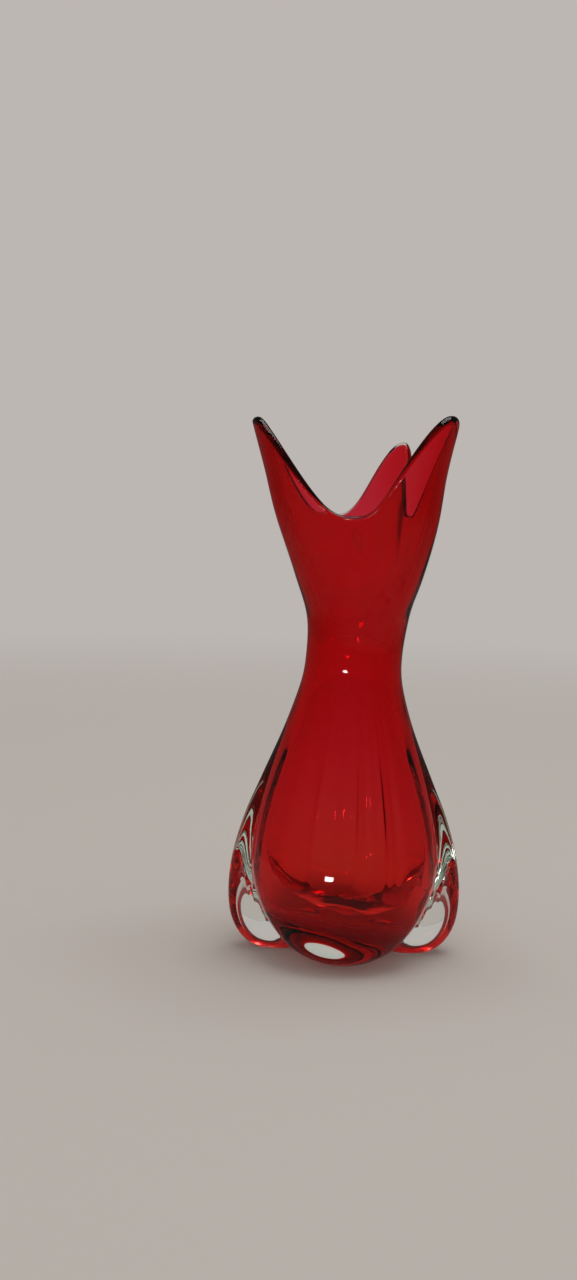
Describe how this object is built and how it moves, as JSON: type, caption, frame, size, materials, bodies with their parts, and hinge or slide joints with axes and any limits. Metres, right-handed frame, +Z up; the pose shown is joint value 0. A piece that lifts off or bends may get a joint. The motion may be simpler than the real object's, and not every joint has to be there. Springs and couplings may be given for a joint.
{
  "type": "art glass vase",
  "caption": "Free-standing cased glass vase with a thick lobed clear foot, a waisted neck and a mouth pulled out into tall petals.",
  "frame": {"origin": "on the ground plane, under the middle of the vase's box", "axes": "+Z up along the blowing axis, -Y towards the front, where the lip dips lowest, +X to the right as seen from the front"},
  "size_m": [0.1318, 0.1278, 0.2989],
  "materials": {
    "ruby_glass": "fire polished, transparent red",
    "clear_glass": "fire polished, clear"
  },
  "bodies": {
    "root": {"ruby_bubble": "ruby_glass", "clear_casing": "clear_glass", "foot_lobe_front": "clear_glass", "foot_lobe_right": "clear_glass", "foot_lobe_back": "clear_glass", "foot_lobe_left": "clear_glass"}
  },
  "joints": []
}
